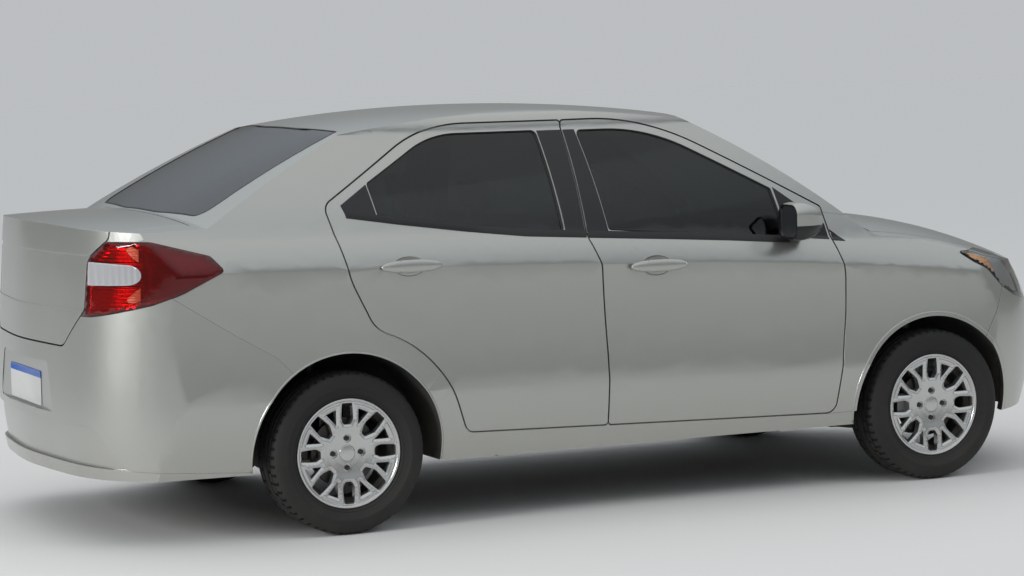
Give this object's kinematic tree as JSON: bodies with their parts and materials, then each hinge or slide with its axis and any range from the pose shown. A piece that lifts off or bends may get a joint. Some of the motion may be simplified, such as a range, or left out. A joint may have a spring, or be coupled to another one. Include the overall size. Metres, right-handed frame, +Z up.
{
  "type": "four-door saloon car",
  "caption": "Notchback saloon car with hinged doors, bonnet and boot lid, steered front wheels, spoked alloy rims and a furnished cabin.",
  "frame": {"origin": "on the ground under the middle of the car's length and width, the tyres standing on z = 0", "axes": "+X towards the front of the car, +Y towards its left side, +Z up"},
  "size_m": [4.2539, 1.9104, 1.5222],
  "materials": {
    "silver_paint": "gloss metallic",
    "tinted_glass": "smooth",
    "clear_lens": "smooth",
    "red_lens": "gloss",
    "black_plastic": "fine grain",
    "alloy": "satin paint",
    "tyre_rubber": "matte",
    "cast_metal": "rough",
    "chassis_black": "satin",
    "floor_coating": "rough coat",
    "exhaust_steel": "dull",
    "seat_fabric": "woven",
    "cabin_plastic": "grained",
    "wheel_leather": "soft grain"
  },
  "bodies": {
    "body": {"body_shell": "silver_paint", "roof_panel": "silver_paint", "fender_right": "silver_paint", "fender_left": "silver_paint", "front_bumper": "silver_paint", "rear_bumper": "silver_paint", "windscreen": "tinted_glass", "rear_window": "tinted_glass", "grille": "black_plastic", "headlamps": "clear_lens", "tail_lamps": "red_lens", "front_subframe": "chassis_black", "rear_axle": "chassis_black", "drive_shafts": "chassis_black", "engine_block": "cast_metal", "radiator": "chassis_black", "floor_pan": "floor_coating", "fuel_tank": "black_plastic", "exhaust": "exhaust_steel", "front_seats": "seat_fabric", "rear_seat": "seat_fabric", "dashboard": "cabin_plastic"},
    "door_front_right": {"door_front_right": "silver_paint", "window_front_right": "tinted_glass", "door_mirror_right": "silver_paint"},
    "door_front_left": {"door_front_left": "silver_paint", "window_front_left": "tinted_glass", "door_mirror_left": "silver_paint"},
    "door_rear_right": {"door_rear_right": "silver_paint", "window_rear_right": "tinted_glass"},
    "door_rear_left": {"door_rear_left": "silver_paint", "window_rear_left": "tinted_glass"},
    "bonnet": {"bonnet": "silver_paint"},
    "boot_lid": {"boot_lid": "silver_paint"},
    "knuckle_right": {"steering_knuckle_right": "cast_metal"},
    "knuckle_left": {"steering_knuckle_left": "cast_metal"},
    "wheel_front_right": {"wheel_front_right": "alloy", "tyre_front_right": "tyre_rubber"},
    "wheel_front_left": {"wheel_front_left": "alloy", "tyre_front_left": "tyre_rubber"},
    "wheel_rear_right": {"wheel_rear_right": "alloy", "tyre_rear_right": "tyre_rubber"},
    "wheel_rear_left": {"wheel_rear_left": "alloy", "tyre_rear_left": "tyre_rubber"},
    "steering_wheel": {"steering_wheel": "wheel_leather"}
  },
  "joints": [
    {"name": "door_front_right_hinge", "type": "hinge", "parent": "body", "child": "door_front_right", "pos_m": [0.942, -0.838, 0.65], "axis": [0, 0, 1], "range_deg": [0, 68]},
    {"name": "door_rear_right_hinge", "type": "hinge", "parent": "body", "child": "door_rear_right", "pos_m": [-0.103, -0.842, 0.65], "axis": [0, 0, 1], "range_deg": [0, 68]},
    {"name": "door_front_left_hinge", "type": "hinge", "parent": "body", "child": "door_front_left", "pos_m": [0.942, 0.838, 0.65], "axis": [0, 0, -1], "range_deg": [0, 68]},
    {"name": "door_rear_left_hinge", "type": "hinge", "parent": "body", "child": "door_rear_left", "pos_m": [-0.103, 0.842, 0.65], "axis": [0, 0, -1], "range_deg": [0, 68]},
    {"name": "bonnet_hinge", "type": "hinge", "parent": "body", "child": "bonnet", "pos_m": [1.14, 0, 1], "axis": [0, -1, 0], "range_deg": [0, 50]},
    {"name": "boot_lid_hinge", "type": "hinge", "parent": "body", "child": "boot_lid", "pos_m": [-1.667, 0, 1.166], "axis": [0, 1, 0], "range_deg": [0, 75]},
    {"name": "steer_right", "type": "hinge", "parent": "body", "child": "knuckle_right", "pos_m": [1.352, -0.652, 0.2975], "axis": [0, 0.1736, 0.9848], "range_deg": [-35, 35]},
    {"name": "steer_left", "type": "hinge", "parent": "body", "child": "knuckle_left", "pos_m": [1.352, 0.652, 0.2975], "axis": [0, -0.1736, 0.9848], "range_deg": [-35, 35]},
    {"name": "steering_wheel_turn", "type": "hinge", "parent": "body", "child": "steering_wheel", "pos_m": [0.452, 0.37, 0.905], "axis": [-0.9063, 0, 0.4226], "range_deg": [-525, 525]},
    {"name": "wheel_front_right_spin", "type": "hinge", "parent": "knuckle_right", "child": "wheel_front_right", "pos_m": [1.352, -0.735, 0.2975], "axis": [0, 1, 0], "continuous": true},
    {"name": "wheel_rear_right_spin", "type": "hinge", "parent": "body", "child": "wheel_rear_right", "pos_m": [-1.139, -0.735, 0.2975], "axis": [0, 1, 0], "continuous": true},
    {"name": "wheel_front_left_spin", "type": "hinge", "parent": "knuckle_left", "child": "wheel_front_left", "pos_m": [1.352, 0.735, 0.2975], "axis": [0, 1, 0], "continuous": true},
    {"name": "wheel_rear_left_spin", "type": "hinge", "parent": "body", "child": "wheel_rear_left", "pos_m": [-1.139, 0.735, 0.2975], "axis": [0, 1, 0], "continuous": true}
  ],
  "couplings": [
    {"joint": "steer_left", "follows": "steer_right", "ratio": 1},
    {"joint": "steering_wheel_turn", "follows": "steer_right", "ratio": 15}
  ]
}
